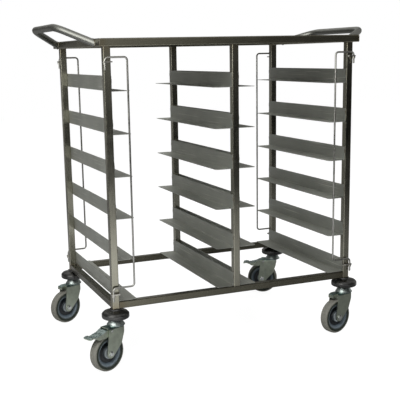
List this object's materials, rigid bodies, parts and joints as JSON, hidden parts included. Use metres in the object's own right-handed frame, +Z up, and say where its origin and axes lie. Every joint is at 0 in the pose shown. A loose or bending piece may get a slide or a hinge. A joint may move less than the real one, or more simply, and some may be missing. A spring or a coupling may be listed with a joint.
{
  "type": "tray transport cart",
  "caption": "Open tube-frame tray cart on swivel casters with bumpers, tray runners in side-by-side columns, end push handles and swinging wire tray retainers.",
  "frame": {"origin": "on the floor, under the middle of the frame", "axes": "+X along the cart towards its right-hand handle as seen from the front, +Y from front to back, +Z up"},
  "size_m": [1.49, 0.8966, 1.442],
  "materials": {
    "frame_tube": "brushed stainless tube, dark reflections",
    "handle_tube": "polished stainless tube",
    "sheet_steel": "satin stainless sheet",
    "wire_steel": "stainless wire",
    "zinc_steel": "zinc-plated pressed steel",
    "bolt_steel": "bright zinc",
    "bumper_rubber": "black moulded rubber, slight sheen",
    "wheel_plastic": "dark blue-grey moulded plastic",
    "tyre_rubber": "grey non-marking rubber"
  },
  "bodies": {
    "frame": {"corner_post_front_left": "frame_tube", "corner_post_front_right": "frame_tube", "corner_post_back_left": "frame_tube", "corner_post_back_right": "frame_tube", "centre_post_front": "frame_tube", "centre_post_back": "frame_tube", "bottom_rail_front": "frame_tube", "top_rail_front": "frame_tube", "bottom_rail_right": "frame_tube", "top_rail_right": "frame_tube", "bottom_rail_back": "frame_tube", "top_rail_back": "frame_tube", "bottom_rail_left": "frame_tube", "top_rail_left": "frame_tube", "top_panel": "sheet_steel", "tray_runners_left": "sheet_steel", "tray_runners_centre_left": "sheet_steel", "tray_runners_centre_right": "sheet_steel", "tray_runners_right": "sheet_steel", "push_handle_left": "handle_tube", "push_handle_right": "handle_tube", "retainer_eyes": "wire_steel", "stem_sockets": "zinc_steel", "bumper_front_left": "bumper_rubber", "swivel_head_front_left": "zinc_steel", "caster_stem_front_left": "zinc_steel", "bumper_front_right": "bumper_rubber", "swivel_head_front_right": "zinc_steel", "caster_stem_front_right": "zinc_steel", "bumper_back_left": "bumper_rubber", "swivel_head_back_left": "zinc_steel", "caster_stem_back_left": "zinc_steel", "bumper_back_right": "bumper_rubber", "swivel_head_back_right": "zinc_steel", "caster_stem_back_right": "zinc_steel"},
    "fork_front_left": {"caster_fork_front_left": "zinc_steel", "axle_bolt_front_left": "bolt_steel", "brake_pin_front_left": "bolt_steel"},
    "wheel_front_left": {"wheel_core_front_left": "wheel_plastic", "tyre_front_left": "tyre_rubber"},
    "pedal_front_left": {"brake_pedal_front_left": "zinc_steel"},
    "retainer_front_left": {"tray_retainer_front_left": "wire_steel"},
    "fork_front_right": {"caster_fork_front_right": "zinc_steel", "axle_bolt_front_right": "bolt_steel"},
    "wheel_front_right": {"wheel_core_front_right": "wheel_plastic", "tyre_front_right": "tyre_rubber"},
    "retainer_front_right": {"tray_retainer_front_right": "wire_steel"},
    "fork_back_left": {"caster_fork_back_left": "zinc_steel", "axle_bolt_back_left": "bolt_steel"},
    "wheel_back_left": {"wheel_core_back_left": "wheel_plastic", "tyre_back_left": "tyre_rubber"},
    "retainer_back_left": {"tray_retainer_back_left": "wire_steel"},
    "fork_back_right": {"caster_fork_back_right": "zinc_steel", "axle_bolt_back_right": "bolt_steel", "brake_pin_back_right": "bolt_steel"},
    "wheel_back_right": {"wheel_core_back_right": "wheel_plastic", "tyre_back_right": "tyre_rubber"},
    "pedal_back_right": {"brake_pedal_back_right": "zinc_steel"},
    "retainer_back_right": {"tray_retainer_back_right": "wire_steel"}
  },
  "joints": [
    {"name": "swivel_front_left", "type": "hinge", "parent": "frame", "child": "fork_front_left", "pos_m": [-0.565, -0.355, 0.188], "axis": [0, 0, 1], "continuous": true},
    {"name": "wheel_spin_front_left", "type": "hinge", "parent": "fork_front_left", "child": "wheel_front_left", "pos_m": [-0.61635, -0.37733, 0.08], "axis": [0.3987, -0.9171, 0], "continuous": true},
    {"name": "brake_press_front_left", "type": "hinge", "parent": "fork_front_left", "child": "pedal_front_left", "pos_m": [-0.60902, -0.37414, 0.178], "axis": [0.3987, -0.9171, 0], "range_deg": [0, 12]},
    {"name": "retainer_swing_front_left", "type": "hinge", "parent": "frame", "child": "retainer_front_left", "pos_m": [-0.578, -0.381, 0.8], "axis": [0, 0, -1], "range_deg": [0, 180]},
    {"name": "swivel_front_right", "type": "hinge", "parent": "frame", "child": "fork_front_right", "pos_m": [0.565, -0.355, 0.188], "axis": [0, 0, 1], "continuous": true},
    {"name": "wheel_spin_front_right", "type": "hinge", "parent": "fork_front_right", "child": "wheel_front_right", "pos_m": [0.51066, -0.36855, 0.08], "axis": [0.2419, -0.9703, 0], "continuous": true},
    {"name": "retainer_swing_front_right", "type": "hinge", "parent": "frame", "child": "retainer_front_right", "pos_m": [0.578, -0.381, 0.8], "axis": [0, 0, 1], "range_deg": [0, 180]},
    {"name": "swivel_back_left", "type": "hinge", "parent": "frame", "child": "fork_back_left", "pos_m": [-0.565, 0.355, 0.188], "axis": [0, 0, 1], "continuous": true},
    {"name": "wheel_spin_back_left", "type": "hinge", "parent": "fork_back_left", "child": "wheel_back_left", "pos_m": [-0.61674, 0.33357, 0.08], "axis": [0.3827, -0.9239, 0], "continuous": true},
    {"name": "retainer_swing_back_left", "type": "hinge", "parent": "frame", "child": "retainer_back_left", "pos_m": [-0.578, 0.381, 0.8], "axis": [0, 0, 1], "range_deg": [0, 180]},
    {"name": "swivel_back_right", "type": "hinge", "parent": "frame", "child": "fork_back_right", "pos_m": [0.565, 0.355, 0.188], "axis": [0, 0, 1], "continuous": true},
    {"name": "wheel_spin_back_right", "type": "hinge", "parent": "fork_back_right", "child": "wheel_back_right", "pos_m": [0.51725, 0.38426, 0.08], "axis": [-0.5225, -0.8526, 0], "continuous": true},
    {"name": "brake_press_back_right", "type": "hinge", "parent": "fork_back_right", "child": "pedal_back_right", "pos_m": [0.52407, 0.38008, 0.178], "axis": [-0.5225, -0.8526, 0], "range_deg": [0, 12]},
    {"name": "retainer_swing_back_right", "type": "hinge", "parent": "frame", "child": "retainer_back_right", "pos_m": [0.578, 0.381, 0.8], "axis": [0, 0, -1], "range_deg": [0, 180]}
  ]
}
